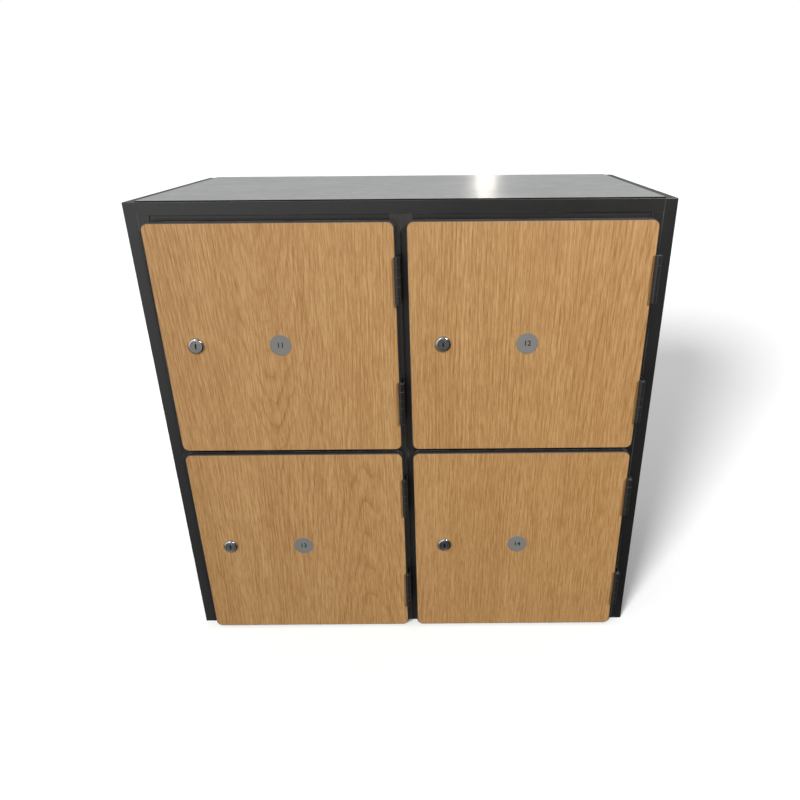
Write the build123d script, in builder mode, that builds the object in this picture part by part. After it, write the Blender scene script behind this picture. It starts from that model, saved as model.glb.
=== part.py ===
"""A two-by-two bank of coin operated lockers, standing on the floor.

Millimetres, +Z up, +X to the right as seen from the front, front towards -Y.
The origin is the middle of the footprint, on the floor.
"""

import os

from build123d import *

os.makedirs("parts", exist_ok=True)

# ---------------------------------------------------------------- driving dimensions

WIDTH = 840.0                 # over the two end panels
HEIGHT = 820.0                # of the end panels and the frame, under the top sheet
DEPTH = 400.0                 # carcass, without the doors
END_PANEL = 20.0
ARRIS = 1.0                   # small rounding of the end panels' edges

SHEET = 1.5                   # steel sheet of walls, shelves and backs
POST_W = 17.5                 # upright posts of the front frame
POST_D = 20.0
POST_TOP = 800.0
SEAM = 0.1                    # a post stands back from its neighbour by this much
TUBE = 1.5                    # wall of every frame tube
TUBE_R = 0.6                  # its outside corners, ground almost square
RAIL_H = 20.0                 # top rail, over the posts
RAIL_D = 18.0
HEADER_H = 28.0
HEADER_RECESS = 2.0
SILL_H = 30.0
CROSS_RAIL_H = 29.0
TOP_SET_BACK = 5.0            # of the top sheet, from the front of the rail it lies on
TOP_LAP = 2.0                 # of its sides, onto the end panels
TOP_TURN = 12.0               # height of its turned-down rear edge

DOOR_W = 382.9
DOOR_H = 390.4
DOOR_T = 13.0
DOOR_CORNER_R = 12.0
DOOR_ARRIS = 2.0              # rounds both faces into the edge
DOOR_GAP = 5.4                # between the door's back and the frame
LOWER_DOOR_Z = 4.3
ROW_PITCH = 397.5

HINGE_H = 75.0
KNUCKLES = 5
KNUCKLE_R = 5.0
KNUCKLE_GAP = 0.3
PIN_R = 2.5
PIN_HOLD = 0.02               # clearance of the pin in the fixed leaf
PIN_RUN = 0.06                # clearance of the pin in the turning leaf
PIN_STAND = 0.6               # of the pin's ends, out of the knuckles
LEAF_T = 2.0
LEAF_ROOT = 3.0               # from the pin's axis to the leaf inside its knuckles
HINGE_X = 193.5               # pin axis, from the middle of the column
HINGE_FRONT = 4.1             # pin axis, ahead of the door's face
HINGE_INSET = 53.2            # from the door's edge to the near end of the hinge
FIXED_LEAF_DEPTH = 15.0       # of the fixed leaf, behind the frame's front
SLOT_PLAY = 0.4               # room round a fixed leaf in its slot
FLANGE_W = 38.0               # of the turning leaf, behind the door

LOCK_INSET = 55.2             # from the door's free edge to the middle of the lock
BEZEL_R = 13.3
BEZEL_T = 4.6
BARREL_R = 10.5
BARREL_PLAY = 0.25            # round the barrel in the door
BARREL_TAIL = 3.0             # of the barrel, behind the door
PLUG_R = 8.2
PLUG_RECESS = 0.4
SPINDLE_R = 4.0
TURN_PLAY = 0.06              # round the plug and the spindle in their bores
KEYWAY_H = 8.8
KEYWAY_W = 2.4
KEYWAY_DEPTH = 15.0
SQUARE = 5.5                  # drive end of the spindle
SQUARE_PLAY = 0.05

DRUM_R = 14.0                 # coin drum on the spindle, inside the case
DRUM_T = 10.0
DRUM_START = 8.4              # behind the door
COIN_R = 12.2                 # pocket for a coin, beside the spindle
COIN_X = 15.2
COIN_SLOT_W = 3.6
COIN_SLOT_H = 26.0

CASE_LEFT = 28.0              # coin case, measured from the spindle
CASE_RIGHT = 31.0
CASE_TOP = 36.0
CASE_BOTTOM = 60.0
CASE_D = 26.0
CASE_WALL = 2.5
CASE_CORNER_R = 3.0
CASE_LUG = 11.0
LUG_T = 3.0
CUP_CEILING = 28.0            # underside of the coin chamber, below the spindle
CUP_LIP = 11.0
CUP_MARGIN = 6.0

CAM_GAP = 0.6                 # between the case and the cam
CAM_T = 3.0
CAM_W = 16.0
CAM_TAIL = 8.0
CAM_REACH = 56.0
CAM_CORNER_R = 4.0

DISC_R = 17.5
DISC_T = 1.0

HOLE_PLAY = 0.05              # round every screw in its hole
PANEL_SCREW = {"r": 2.2, "head_r": 4.2, "head_t": 2.4, "length": 14.0}
CASE_SCREW = {"r": 2.0, "head_r": 3.8, "head_t": 2.4, "length": 11.0}
CAM_SCREW = {"r": 1.6, "head_r": 4.4, "head_t": 2.4, "length": 9.0}
LEAF_SCREW = {"r": 2.0, "head_r": 3.6, "length": 10.0}
LEAF_SCREW_PITCH = 25.0
LEAF_SCREW_X = 24.0           # from the door's edge
CASE_SCREW_X = 20.0           # either side of the spindle
PANEL_SCREW_Y = (60.0, 330.0)
PANEL_SCREW_Z = (120.0, 680.0)

WALL_HOLE_R = 4.5             # four holes that fasten the bank to a wall
WALL_HOLE_X = 400.0
WALL_HOLE_Z = (150.0, 710.0)

BUFFER_R = 3.2
BUFFER_T = 5.0
BUFFER_MARGIN = 1.0           # from the opening's edge
BUFFER_INSET = 60.0           # from the door's ends

# ---------------------------------------------------------------- derived places

PROUD = KNUCKLE_R + HINGE_FRONT + DOOR_T + DOOR_GAP  # of the hinges, ahead of the frame
FRONT_Y = (PROUD - DEPTH) / 2                        # front face of the frame
AXIS_Y = FRONT_Y - PROUD + KNUCKLE_R                 # hinge pins
DOOR_Y = AXIS_Y + HINGE_FRONT                        # front face of the doors
DOOR_BACK_Y = DOOR_Y + DOOR_T
FACE_Y = DOOR_Y - BEZEL_T                            # front face of the locks
POST_BACK_Y = FRONT_Y + POST_D
BACK_Y = FRONT_Y + DEPTH - SHEET                     # front face of the back panel
CASE_BACK_Y = DOOR_BACK_Y + CASE_D
CAM_Y = CASE_BACK_Y + CAM_GAP
SLOT_Y = DOOR_BACK_Y + DRUM_START + (DRUM_T - COIN_SLOT_W) / 2

CARCASS_X = WIDTH / 2 - END_PANEL                    # half the width between end panels
COLUMN_W = CARCASS_X
COLUMNS = {"left": -COLUMN_W / 2, "right": COLUMN_W / 2}
OPENING_HALF = COLUMN_W / 2 - POST_W
FIXED_LEAF_X = COLUMN_W / 2 - TUBE - SEAM            # outer face of a fixed leaf
UPPER_DOOR_Z = LOWER_DOOR_Z + ROW_PITCH
SHELF_Z = UPPER_DOOR_Z - (ROW_PITCH - DOOR_H) / 2

DOORS = {
    "11": (COLUMNS["left"], UPPER_DOOR_Z),
    "12": (COLUMNS["right"], UPPER_DOOR_Z),
    "13": (COLUMNS["left"], LOWER_DOOR_Z),
    "14": (COLUMNS["right"], LOWER_DOOR_Z),
}


def front_plane(x, y, z):
    """A plane that faces the front: its own x and y run along +X and +Z."""
    return Plane(origin=(x, y, z), x_dir=(1, 0, 0), z_dir=(0, -1, 0))


def rear_plane(x, y, z):
    """A plane that faces the back: its own x and y run along -X and +Z."""
    return Plane(origin=(x, y, z), x_dir=(-1, 0, 0), z_dir=(0, 1, 0))


def side_plane(x, y, z, side):
    """A plane that faces left (side -1) or right (side 1)."""
    return Plane(origin=(x, y, z), x_dir=(0, 1, 0), z_dir=(side, 0, 0))


def save(piece, name):
    piece.part.label = name
    export_step(piece.part, f"parts/{name}.step")


def board(x_span, y_span, z_span, mode=Mode.ADD):
    """A rectangular block, added to or cut from the piece being made."""
    x0, x1 = x_span
    y0, y1 = y_span
    z0, z1 = z_span
    with BuildSketch(Plane.XY.offset(z0)) as outline:
        with Locations(((x0 + x1) / 2, (y0 + y1) / 2)):
            Rectangle(x1 - x0, y1 - y0)
    extrude(outline.sketch, amount=z1 - z0, mode=mode)


def disc(plane, radius, amount, mode=Mode.ADD):
    """A round disc or hole on a plane, added to or cut from the piece being made."""
    with BuildSketch(plane) as outline:
        Circle(radius)
    extrude(outline.sketch, amount=amount, mode=mode)


def pan_screw(plane, size):
    """A pan-head screw whose head stands on the plane."""
    disc(plane, size["head_r"], size["head_t"])
    disc(plane, size["r"] - HOLE_PLAY, HOLE_PLAY - size["length"])


def hinge_middles(door_z):
    """Heights of the middles of a door's two hinges."""
    reach = HINGE_INSET + HINGE_H / 2
    return (door_z + reach, door_z + DOOR_H - reach)


def panel_screw_places():
    return [(FRONT_Y + y, z) for y in PANEL_SCREW_Y for z in PANEL_SCREW_Z]


# ---------------------------------------------------------------- boards and sheets


def make_end_panel(name, side):
    inner = side * CARCASS_X
    with BuildPart() as panel:
        board(sorted((inner, side * WIDTH / 2)), (FRONT_Y, FRONT_Y + DEPTH), (0, HEIGHT))
        fillet(panel.edges().filter_by(Axis.Z), ARRIS)
        fillet(panel.edges().group_by(Axis.Z)[-1], ARRIS)
        for y, z in panel_screw_places():
            pilot = SHEET - PANEL_SCREW["length"]
            disc(side_plane(inner, y, z, -side), PANEL_SCREW["r"], pilot, Mode.SUBTRACT)
    save(panel, name)


def make_wall(name, x, screwed=False):
    """A column's side wall. The outer ones are drilled for the end panels' screws."""
    with BuildPart() as wall:
        board((x, x + SHEET), (POST_BACK_Y, BACK_Y), (0, POST_TOP - SHEET))
        if screwed:
            for y, z in panel_screw_places():
                disc(side_plane(x, y, z, 1), PANEL_SCREW["r"], SHEET, Mode.SUBTRACT)
    save(wall, name)


def make_sheet(name, x_span, z_top):
    """A level sheet from the front frame to the back panel."""
    with BuildPart() as sheet:
        board(x_span, (POST_BACK_Y, BACK_Y), (z_top - SHEET, z_top))
    save(sheet, name)


make_end_panel("side_panel_left", -1)
make_end_panel("side_panel_right", 1)
make_wall("wall_outer_left", -CARCASS_X, screwed=True)
make_wall("wall_inner_left", -SHEET)
make_wall("wall_inner_right", 0)
make_wall("wall_outer_right", CARCASS_X - SHEET, screwed=True)
make_sheet("roof_panel", (-CARCASS_X, CARCASS_X), POST_TOP)
for column, cx in COLUMNS.items():
    inside = (cx - COLUMN_W / 2 + SHEET, cx + COLUMN_W / 2 - SHEET)
    make_sheet(f"floor_{column}", inside, SILL_H)
    make_sheet(f"shelf_{column}", inside, SHELF_Z + SHEET / 2)

# The top sheet lies on the top rail and laps onto the end panels.
top_rear = FRONT_Y + DEPTH
turn_foot = HEIGHT + SHEET - TOP_TURN
with BuildPart() as top:
    lapped = (-CARCASS_X - TOP_LAP, CARCASS_X + TOP_LAP)
    board(lapped, (FRONT_Y + TOP_SET_BACK, top_rear), (HEIGHT, HEIGHT + SHEET))
    board((-CARCASS_X, CARCASS_X), (top_rear - SHEET, top_rear), (turn_foot, HEIGHT))
save(top, "top_panel")

with BuildPart() as back:
    board((-CARCASS_X, CARCASS_X), (BACK_Y, BACK_Y + SHEET), (0, turn_foot))
    with Locations(rear_plane(0, BACK_Y + SHEET, sum(WALL_HOLE_Z) / 2)):
        with GridLocations(WALL_HOLE_X, WALL_HOLE_Z[1] - WALL_HOLE_Z[0], 2, 2):
            Hole(WALL_HOLE_R, depth=SHEET)
save(back, "back_panel")

# ---------------------------------------------------------------- front frame


def tube_section(plane, width, height):
    """A rounded box section, drawn about the plane's origin."""
    with BuildSketch(plane) as section:
        RectangleRounded(width, height, TUBE_R)
        Rectangle(width - 2 * TUBE, height - 2 * TUBE, mode=Mode.SUBTRACT)
    return section.sketch


def make_post(name, x_span, column_x=None):
    """An upright post. One that carries hinges is slotted for the fixed leaves."""
    x0, x1 = x_span
    foot = Plane(((x0 + x1) / 2, FRONT_Y + POST_D / 2, 0))
    with BuildPart() as post:
        extrude(tube_section(foot, x1 - x0, POST_D), amount=POST_TOP)
        if column_x is not None:
            leaf_x = column_x + FIXED_LEAF_X
            slot_x = (leaf_x - LEAF_T - SLOT_PLAY, leaf_x)
            for door_z in (LOWER_DOOR_Z, UPPER_DOOR_Z):
                for middle in hinge_middles(door_z):
                    half = (HINGE_H + SLOT_PLAY) / 2
                    slot_z = (middle - half, middle + half)
                    board(slot_x, (FRONT_Y, FRONT_Y + TUBE), slot_z, Mode.SUBTRACT)
    save(post, name)


def make_rail(name, x_span, y_span, z_span):
    """A tube that lies along X."""
    y0, y1 = y_span
    z0, z1 = z_span
    end = Plane(origin=(x_span[0], (y0 + y1) / 2, (z0 + z1) / 2), x_dir=(0, 1, 0), z_dir=(1, 0, 0))
    with BuildPart() as rail:
        extrude(tube_section(end, y1 - y0, z1 - z0), amount=x_span[1] - x_span[0])
    save(rail, name)


make_post("post_outer_left", (-CARCASS_X, -CARCASS_X + POST_W))
make_post("post_inner_left", (-POST_W, -SEAM), COLUMNS["left"])
make_post("post_inner_right", (SEAM, POST_W))
make_post("post_outer_right", (CARCASS_X - POST_W, CARCASS_X - SEAM), COLUMNS["right"])

rail_y = (FRONT_Y, FRONT_Y + RAIL_D)
make_rail("top_rail", (-CARCASS_X, CARCASS_X), rail_y, (POST_TOP, POST_TOP + RAIL_H))
for column, cx in COLUMNS.items():
    between = (cx - OPENING_HALF, cx + OPENING_HALF)
    flush = (FRONT_Y, POST_BACK_Y)
    recessed = (FRONT_Y + HEADER_RECESS, POST_BACK_Y)
    cross_z = (SHELF_Z - CROSS_RAIL_H / 2, SHELF_Z + CROSS_RAIL_H / 2)
    make_rail(f"header_{column}", between, recessed, (POST_TOP - HEADER_H, POST_TOP))
    make_rail(f"cross_rail_{column}", between, flush, cross_z)
    make_rail(f"sill_{column}", between, flush, (0, SILL_H))

# ---------------------------------------------------------------- hinges


def knuckle_spans(middle, first):
    """(bottom, height) of every second knuckle of a hinge, counted from below."""
    pitch = HINGE_H / KNUCKLES
    start = middle - HINGE_H / 2 + KNUCKLE_GAP / 2
    return [(start + i * pitch, pitch - KNUCKLE_GAP) for i in range(first, KNUCKLES, 2)]


def hinge_leaf(axis_x, middle, outline, first, bore_r):
    """Adds a leaf with its knuckles; the outline is the leaf seen from above."""
    bottom = middle - HINGE_H / 2
    with BuildSketch(Plane.XY.offset(bottom)) as plate:
        with BuildLine():
            Polyline(*outline, close=True)
        make_face()
    extrude(plate.sketch, amount=HINGE_H)
    room = KNUCKLE_R + KNUCKLE_GAP
    for z, height in knuckle_spans(middle, 1 - first):
        start = Plane((axis_x, AXIS_Y, z - KNUCKLE_GAP))
        disc(start, room, height + 2 * KNUCKLE_GAP, Mode.SUBTRACT)
    for z, height in knuckle_spans(middle, first):
        disc(Plane((axis_x, AXIS_Y, z)), KNUCKLE_R, height)
    disc(Plane((axis_x, AXIS_Y, bottom)), bore_r, HINGE_H, Mode.SUBTRACT)


# Fixed leaves run straight back from the pin, through the slot and into the post.
with BuildPart() as frame_leaves:
    for cx, door_z in DOORS.values():
        outer = cx + FIXED_LEAF_X
        plate = [
            (outer, AXIS_Y),
            (outer, FRONT_Y + FIXED_LEAF_DEPTH),
            (outer - LEAF_T, FRONT_Y + FIXED_LEAF_DEPTH),
            (outer - LEAF_T, AXIS_Y),
        ]
        for middle in hinge_middles(door_z):
            hinge_leaf(cx + HINGE_X, middle, plate, 0, PIN_R + PIN_HOLD)
save(frame_leaves, "hinge_frame_leaves")

with BuildPart() as pins:
    for cx, door_z in DOORS.values():
        for middle in hinge_middles(door_z):
            start = middle - HINGE_H / 2 - PIN_STAND
            disc(Plane((cx + HINGE_X, AXIS_Y, start)), PIN_R, HINGE_H + 2 * PIN_STAND)
    chamfer(pins.edges().filter_by(GeomType.CIRCLE), PIN_STAND / 2)
save(pins, "hinge_pins")

# ---------------------------------------------------------------- small parts of the frame

with BuildPart() as screws:
    for side in (-1, 1):
        for y, z in panel_screw_places():
            pan_screw(side_plane(side * (CARCASS_X - SHEET), y, z, -side), PANEL_SCREW)
save(screws, "carcass_screws")

with BuildPart() as buffers:
    for cx, door_z in DOORS.values():
        x = cx - OPENING_HALF - BUFFER_MARGIN - BUFFER_R
        for z in (door_z + BUFFER_INSET, door_z + DOOR_H - BUFFER_INSET):
            disc(front_plane(x, FRONT_Y, z), BUFFER_R, BUFFER_T)
    fillet(buffers.edges().group_by(Axis.Y)[0], BUFFER_R / 4)
save(buffers, "door_buffers")

# ---------------------------------------------------------------- doors


def leaf_screw_places(cx, door_z):
    x = cx + DOOR_W / 2 - LEAF_SCREW_X
    steps = (-LEAF_SCREW_PITCH, 0, LEAF_SCREW_PITCH)
    return [(x, middle + step) for middle in hinge_middles(door_z) for step in steps]


def case_screw_places(lock_x, lock_z):
    heights = (lock_z + CASE_TOP + CASE_LUG / 2, lock_z - CASE_BOTTOM - CASE_LUG / 2)
    return [(lock_x + x, z) for x in (-CASE_SCREW_X, CASE_SCREW_X) for z in heights]


def make_door(tag, cx, door_z, lock_x, lock_z):
    with BuildPart() as door:
        with BuildSketch(front_plane(cx, DOOR_Y, door_z + DOOR_H / 2)):
            RectangleRounded(DOOR_W, DOOR_H, DOOR_CORNER_R)
        extrude(amount=-DOOR_T)
        fillet(door.edges().group_by(Axis.Y)[0], DOOR_ARRIS)
        fillet(door.edges().group_by(Axis.Y)[-1], DOOR_ARRIS)
        bore = BARREL_R + BARREL_PLAY
        disc(front_plane(lock_x, DOOR_Y, lock_z), bore, -DOOR_T, Mode.SUBTRACT)
        for x, z in leaf_screw_places(cx, door_z):
            depth = LEAF_T - LEAF_SCREW["length"]
            disc(rear_plane(x, DOOR_BACK_Y, z), LEAF_SCREW["r"], depth, Mode.SUBTRACT)
        for x, z in case_screw_places(lock_x, lock_z):
            depth = LUG_T - CASE_SCREW["length"]
            disc(rear_plane(x, DOOR_BACK_Y, z), CASE_SCREW["r"], depth, Mode.SUBTRACT)
    save(door, f"door_{tag}")


def make_door_leaves(tag, cx, door_z):
    """Turning leaves: back along the door's edge, then flat behind the door."""
    edge = cx + DOOR_W / 2
    flange_y = DOOR_BACK_Y + LEAF_T
    outline = [
        (edge, AXIS_Y + LEAF_ROOT),
        (edge + LEAF_T, AXIS_Y + LEAF_ROOT),
        (edge + LEAF_T, flange_y),
        (edge - FLANGE_W, flange_y),
        (edge - FLANGE_W, DOOR_BACK_Y),
        (edge, DOOR_BACK_Y),
    ]
    with BuildPart() as leaves:
        for middle in hinge_middles(door_z):
            hinge_leaf(cx + HINGE_X, middle, outline, 1, PIN_R + PIN_RUN)
        for x, z in leaf_screw_places(cx, door_z):
            with Locations(rear_plane(x, flange_y, z)):
                CounterSinkHole(LEAF_SCREW["r"], LEAF_SCREW["head_r"], depth=LEAF_T)
    save(leaves, f"hinge_leaves_{tag}")


def make_number_disc(tag, cx, door_z):
    with BuildPart() as number_disc:
        disc(front_plane(cx, DOOR_Y, door_z + DOOR_H / 2), DISC_R, DISC_T)
        fillet(number_disc.edges().group_by(Axis.Y)[0], DISC_T / 3)
    save(number_disc, f"number_disc_{tag}")


# ---------------------------------------------------------------- coin locks


def make_barrel(tag, lock_x, lock_z):
    """The lock's bevelled bezel and the barrel behind it, bored for the plug."""
    with BuildPart() as barrel:
        disc(front_plane(lock_x, DOOR_Y, lock_z), BEZEL_R, BEZEL_T)
        rim = barrel.edges().group_by(Axis.Y)[0]
        chamfer(rim, length=BEZEL_T * 0.75, length2=BEZEL_R - BARREL_R)
        disc(front_plane(lock_x, DOOR_Y, lock_z), BARREL_R, -DOOR_T - BARREL_TAIL)
        depth = BEZEL_T + DOOR_T + BARREL_TAIL
        bore = PLUG_R + TURN_PLAY
        disc(front_plane(lock_x, FACE_Y, lock_z), bore, -depth, Mode.SUBTRACT)
    save(barrel, f"lock_barrel_{tag}")


def make_coin_case(tag, lock_x, lock_z):
    """The case behind the door: a coin chamber above, a coin return cup below."""
    wall = CASE_WALL
    x0, x1 = lock_x - CASE_LEFT, lock_x + CASE_RIGHT
    z0, z1 = lock_z - CASE_BOTTOM, lock_z + CASE_TOP
    in_x = (x0 + wall, x1 - wall)
    back_wall = (CASE_BACK_Y - wall, CASE_BACK_Y)
    ceiling = lock_z - CUP_CEILING
    slot_y = (SLOT_Y, SLOT_Y + COIN_SLOT_W)
    with BuildPart() as case:
        board((x0, x1), (DOOR_BACK_Y, CASE_BACK_Y), (z0, z1))
        fillet(case.edges().filter_by(Axis.Y), CASE_CORNER_R)
        fillet(case.edges().group_by(Axis.Y)[-1], ARRIS)
        lug_z = (z0 - CASE_LUG, z1 + CASE_LUG)
        board((x0, x1), (DOOR_BACK_Y, DOOR_BACK_Y + LUG_T), lug_z)
        # the coin chamber is open towards the door, which closes it
        chamber_z = (ceiling, z1 - wall)
        board(in_x, (DOOR_BACK_Y, back_wall[0]), chamber_z, Mode.SUBTRACT)
        # the cup, its mouth in the back wall, and the chute that drops a coin into it
        cup_z = (z0 + wall, ceiling - wall)
        board(in_x, (DOOR_BACK_Y + wall, back_wall[0]), cup_z, Mode.SUBTRACT)
        mouth_x = (x0 + CUP_MARGIN, x1 - CUP_MARGIN)
        mouth_z = (z0 + CUP_LIP, ceiling - 2 * wall)
        board(mouth_x, back_wall, mouth_z, Mode.SUBTRACT)
        coin_x = lock_x + COIN_X
        chute_x = (coin_x - COIN_SLOT_H / 2, coin_x + COIN_SLOT_H / 2)
        board(chute_x, slot_y, (ceiling - wall, ceiling), Mode.SUBTRACT)
        # the coin slot, on the side away from the door's free edge
        slot_z = (lock_z - COIN_SLOT_H / 2, lock_z + COIN_SLOT_H / 2)
        board((x1 - wall, x1), slot_y, slot_z, Mode.SUBTRACT)
        spindle_bore = rear_plane(lock_x, CASE_BACK_Y, lock_z)
        disc(spindle_bore, SPINDLE_R + TURN_PLAY, -wall, Mode.SUBTRACT)
        for x, z in case_screw_places(lock_x, lock_z):
            lug_face = rear_plane(x, DOOR_BACK_Y + LUG_T, z)
            disc(lug_face, CASE_SCREW["r"], -LUG_T, Mode.SUBTRACT)
    save(case, f"coin_case_{tag}")


def make_fixings(tag, cx, door_z, lock_x, lock_z):
    """Countersunk screws of the turning leaves, pan-head screws of the coin case."""
    head_depth = LEAF_SCREW["head_r"] - LEAF_SCREW["r"]
    with BuildPart() as fixings:
        for x, z in leaf_screw_places(cx, door_z):
            shank = LEAF_SCREW["r"] - HOLE_PLAY
            face = rear_plane(x, DOOR_BACK_Y + LEAF_T - HOLE_PLAY, z)
            with Locations(face):
                align = (Align.CENTER, Align.CENTER, Align.MAX)
                Cone(shank, shank + head_depth, head_depth, align=align)
            disc(face, shank, 3 * HOLE_PLAY - LEAF_SCREW["length"])
        for x, z in case_screw_places(lock_x, lock_z):
            pan_screw(rear_plane(x, DOOR_BACK_Y + LUG_T, z), CASE_SCREW)
    save(fixings, f"fixings_{tag}")


def make_plug(tag, lock_x, lock_z):
    """The key plug, its spindle, the coin drum on it and the square end for the cam."""
    plug_y = FACE_Y + PLUG_RECESS
    tail_y = DOOR_BACK_Y + BARREL_TAIL
    drum_y = DOOR_BACK_Y + DRUM_START
    with BuildPart() as plug:
        disc(front_plane(lock_x, plug_y, lock_z), PLUG_R, plug_y - tail_y)
        chamfer(plug.edges().group_by(Axis.Y)[0], PLUG_RECESS)
        disc(front_plane(lock_x, tail_y, lock_z), SPINDLE_R, tail_y - CAM_Y)
        disc(front_plane(lock_x, drum_y, lock_z), DRUM_R, -DRUM_T)
        pocket = front_plane(lock_x + COIN_X, SLOT_Y, lock_z)
        disc(pocket, COIN_R, -COIN_SLOT_W, Mode.SUBTRACT)
        with BuildSketch(front_plane(lock_x, CAM_Y, lock_z)):
            Rectangle(SQUARE, SQUARE)
        extrude(amount=-CAM_T)
        with BuildSketch(front_plane(lock_x, plug_y, lock_z)):
            Rectangle(KEYWAY_W, KEYWAY_H)
        extrude(amount=-KEYWAY_DEPTH, mode=Mode.SUBTRACT)
        tapping = rear_plane(lock_x, CAM_Y + CAM_T, lock_z)
        disc(tapping, CAM_SCREW["r"], -CAM_SCREW["length"], Mode.SUBTRACT)
    save(plug, f"lock_plug_{tag}")


def make_cam(tag, lock_x, lock_z):
    """The cam on the square end, with its screw. It points up when unlocked."""
    with BuildPart() as cam:
        with BuildSketch(front_plane(lock_x, CAM_Y, lock_z)):
            with Locations((0, (CAM_REACH - CAM_TAIL) / 2)):
                RectangleRounded(CAM_W, CAM_REACH + CAM_TAIL, CAM_CORNER_R)
            Rectangle(SQUARE + 2 * SQUARE_PLAY, SQUARE + 2 * SQUARE_PLAY, mode=Mode.SUBTRACT)
        extrude(amount=-CAM_T)
        pan_screw(rear_plane(lock_x, CAM_Y + CAM_T + HOLE_PLAY, lock_z), CAM_SCREW)
    save(cam, f"lock_cam_{tag}")


for tag, (cx, door_z) in DOORS.items():
    lock_x = cx - DOOR_W / 2 + LOCK_INSET
    lock_z = door_z + DOOR_H / 2
    make_door(tag, cx, door_z, lock_x, lock_z)
    make_door_leaves(tag, cx, door_z)
    make_number_disc(tag, cx, door_z)
    make_barrel(tag, lock_x, lock_z)
    make_coin_case(tag, lock_x, lock_z)
    make_fixings(tag, cx, door_z, lock_x, lock_z)
    make_plug(tag, lock_x, lock_z)
    make_cam(tag, lock_x, lock_z)
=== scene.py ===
"""Looks of a two-by-two bank of coin operated lockers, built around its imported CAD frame.

Places come from the boxes of the frame's nodes, in metres: +X right, front towards -Y, +Z up.
Sizes that the frame doesn't give are named in millimetres and scaled by MM.
"""

import math
import random

import bmesh
import bpy
from mathutils import Matrix, Vector

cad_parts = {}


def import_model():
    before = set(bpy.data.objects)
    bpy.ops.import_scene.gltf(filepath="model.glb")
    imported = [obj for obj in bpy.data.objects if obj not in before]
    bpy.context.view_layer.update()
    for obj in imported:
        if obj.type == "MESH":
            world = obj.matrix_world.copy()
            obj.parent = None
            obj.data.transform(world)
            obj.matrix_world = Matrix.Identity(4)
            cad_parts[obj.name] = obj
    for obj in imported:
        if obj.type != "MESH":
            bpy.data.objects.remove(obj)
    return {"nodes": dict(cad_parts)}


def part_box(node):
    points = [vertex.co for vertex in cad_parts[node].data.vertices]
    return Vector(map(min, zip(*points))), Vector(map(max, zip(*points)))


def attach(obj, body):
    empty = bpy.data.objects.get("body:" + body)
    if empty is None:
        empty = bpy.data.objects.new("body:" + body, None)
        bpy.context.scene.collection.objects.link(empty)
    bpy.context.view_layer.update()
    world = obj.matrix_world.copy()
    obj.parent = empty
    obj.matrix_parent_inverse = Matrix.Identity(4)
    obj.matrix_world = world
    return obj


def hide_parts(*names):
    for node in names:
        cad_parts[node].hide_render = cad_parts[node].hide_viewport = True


MM = 0.001

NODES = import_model()["nodes"]


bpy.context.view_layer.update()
TAGS = sorted(name.split("_")[2] for name in NODES if name.startswith("lock_plug_"))

# ---------------------------------------------------------------- node kit


class Graph:
    """A node tree and short ways of adding to it."""

    def __init__(self, tree):
        self.tree = tree

    def node(self, kind, settings=None, **inputs):
        """A node with its settings, and its inputs by name: a socket is linked, a value set."""
        made = self.tree.nodes.new(kind)
        for key, value in (settings or {}).items():
            setattr(made, key, value)
        for key, value in inputs.items():
            socket = made.inputs[int(key[1:]) if key[1:].isdigit() else key.replace("_", " ")]
            if isinstance(value, bpy.types.NodeSocket):
                self.tree.links.new(value, socket)
            else:
                socket.default_value = value
        return made

    def math(self, operation, first, second=0.0, third=0.0, clamp=False):
        settings = {"operation": operation, "use_clamp": clamp}
        return self.node("ShaderNodeMath", settings, _0=first, _1=second, _2=third).outputs[0]

    def steps(self, value, *stops):
        """A ramp through (place, level) stops."""
        ramp = self.node("ShaderNodeValToRGB", Fac=value)
        elements = ramp.color_ramp.elements
        while len(elements) < len(stops):
            elements.new(0.5)
        for element, (place, level) in zip(elements, stops):
            element.position = place
            element.color = (level, level, level, 1.0)
        return ramp.outputs["Color"]

    def mix(self, factor, first, second):
        """Colours mixed by a factor; a plain colour has three numbers."""
        first, second = (
            value if isinstance(value, bpy.types.NodeSocket) else (*value, 1.0)
            for value in (first, second)
        )
        settings = {"data_type": "RGBA"}
        return self.node("ShaderNodeMix", settings, _0=factor, _6=first, _7=second).outputs[2]

    def span(self, value, low, high):
        """A value from 0..1 moved to low..high."""
        return self.node("ShaderNodeMapRange", Value=value, To_Min=low, To_Max=high).outputs[0]

    def axes(self, source):
        return self.node("ShaderNodeSeparateXYZ", Vector=source).outputs


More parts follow.
